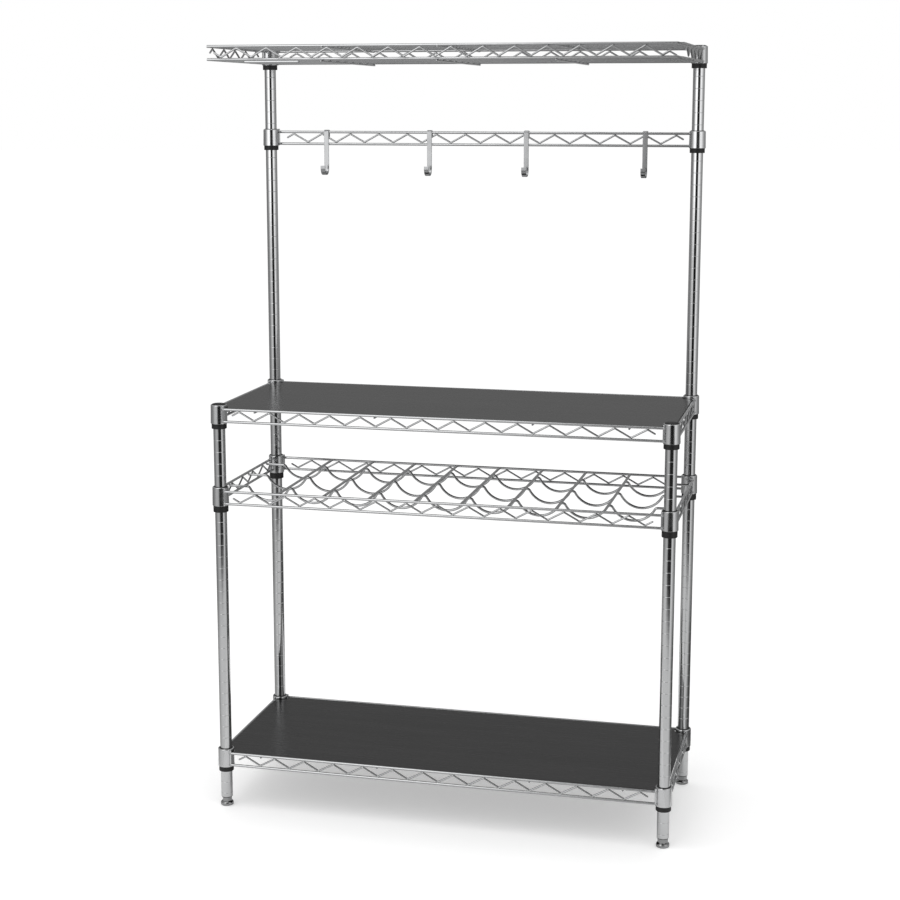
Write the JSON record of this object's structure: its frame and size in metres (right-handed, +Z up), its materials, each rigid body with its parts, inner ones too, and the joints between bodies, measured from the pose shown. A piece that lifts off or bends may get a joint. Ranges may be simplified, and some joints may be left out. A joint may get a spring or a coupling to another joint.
{
  "type": "bakers rack",
  "caption": "Free-standing chromed wire bakers rack: two dark boards, a wavy bottle rack between them, a hook rail with sliding hooks and an overhanging wire top shelf.",
  "frame": {"origin": "on the floor, midway between the four posts", "axes": "+X to the right, +Y to the back, +Z up; the hook rail is at the back"},
  "size_m": [0.9958, 0.3977, 1.6439],
  "materials": {
    "post_chrome": "bright chromed steel tube",
    "wire_chrome": "bright chromed steel wire",
    "sleeve_chrome": "satin chromed steel sleeve",
    "hook_chrome": "chromed flat steel strip",
    "foot_chrome": "chromed turned steel",
    "board_laminate": "charcoal wood-grain laminate on fibreboard",
    "clip_plastic": "black moulded plastic",
    "cap_plastic": "black moulded plastic",
    "insert_plastic": "black moulded plastic"
  },
  "bodies": {
    "frame": {"bottom_shelf_clips": "clip_plastic", "bottom_shelf_corner_sleeves": "sleeve_chrome", "bottom_shelf_lower_rails": "wire_chrome", "bottom_shelf_support_wires": "wire_chrome", "bottom_shelf_upper_rails": "wire_chrome", "bottom_shelf_zigzag_wires": "wire_chrome", "counter_clips": "clip_plastic", "counter_corner_sleeves": "sleeve_chrome", "counter_lower_rails": "wire_chrome", "counter_support_wires": "wire_chrome", "counter_upper_rails": "wire_chrome", "counter_zigzag_wires": "wire_chrome", "foot_inserts": "insert_plastic", "front_left_post": "post_chrome", "front_right_post": "post_chrome", "hook_rail_clips": "clip_plastic", "hook_rail_lower_wire": "wire_chrome", "hook_rail_sleeves": "sleeve_chrome", "hook_rail_upper_wire": "wire_chrome", "hook_rail_zigzag_wire": "wire_chrome", "post_caps": "cap_plastic", "rear_left_post": "post_chrome", "rear_right_post": "post_chrome", "top_shelf_clips": "clip_plastic", "top_shelf_cross_supports": "wire_chrome", "top_shelf_deck_bearers": "wire_chrome", "top_shelf_deck_wires": "wire_chrome", "top_shelf_lower_frame": "wire_chrome", "top_shelf_sleeves": "sleeve_chrome", "top_shelf_splice": "wire_chrome", "top_shelf_stringers": "wire_chrome", "top_shelf_upper_frame": "wire_chrome", "top_shelf_zigzag_wires": "wire_chrome", "wine_rack_clips": "clip_plastic", "wine_rack_corner_sleeves": "sleeve_chrome", "wine_rack_crest_bars": "wire_chrome", "wine_rack_front_cup_wire": "wire_chrome", "wine_rack_lower_rails": "wire_chrome", "wine_rack_middle_cup_wire": "wire_chrome", "wine_rack_rear_cup_wire": "wire_chrome", "wine_rack_upper_rails": "wire_chrome", "wine_rack_zigzag_wires": "wire_chrome"},
    "bottom_board": {"bottom_board": "board_laminate"},
    "counter_board": {"counter_board": "board_laminate"},
    "hook_1": {"hook_1": "hook_chrome"},
    "hook_2": {"hook_2": "hook_chrome"},
    "hook_3": {"hook_3": "hook_chrome"},
    "hook_4": {"hook_4": "hook_chrome"},
    "front_left_foot": {"front_left_foot": "foot_chrome"},
    "front_right_foot": {"front_right_foot": "foot_chrome"},
    "rear_left_foot": {"rear_left_foot": "foot_chrome"},
    "rear_right_foot": {"rear_right_foot": "foot_chrome"}
  },
  "joints": [
    {"name": "front_left_foot_travel", "type": "slide", "parent": "frame", "child": "front_left_foot", "axis": [0, 0, 1], "range_m": [-0.012, 0]},
    {"name": "front_right_foot_travel", "type": "slide", "parent": "frame", "child": "front_right_foot", "axis": [0, 0, 1], "range_m": [-0.012, 0]},
    {"name": "rear_left_foot_travel", "type": "slide", "parent": "frame", "child": "rear_left_foot", "axis": [0, 0, 1], "range_m": [-0.012, 0]},
    {"name": "rear_right_foot_travel", "type": "slide", "parent": "frame", "child": "rear_right_foot", "axis": [0, 0, 1], "range_m": [-0.012, 0]},
    {"name": "hook_1_slide", "type": "slide", "parent": "frame", "child": "hook_1", "axis": [1, 0, 0], "range_m": [-0.085, 0.085]},
    {"name": "hook_2_slide", "type": "slide", "parent": "frame", "child": "hook_2", "axis": [1, 0, 0], "range_m": [-0.085, 0.085]},
    {"name": "hook_3_slide", "type": "slide", "parent": "frame", "child": "hook_3", "axis": [1, 0, 0], "range_m": [-0.085, 0.085]},
    {"name": "hook_4_slide", "type": "slide", "parent": "frame", "child": "hook_4", "axis": [1, 0, 0], "range_m": [-0.085, 0.085]},
    {"name": "counter_board_lift", "type": "slide", "parent": "frame", "child": "counter_board", "axis": [0, 0, 1], "range_m": [0, 0.25]},
    {"name": "bottom_board_lift", "type": "slide", "parent": "frame", "child": "bottom_board", "axis": [0, 0, 1], "range_m": [0, 0.25]}
  ]
}
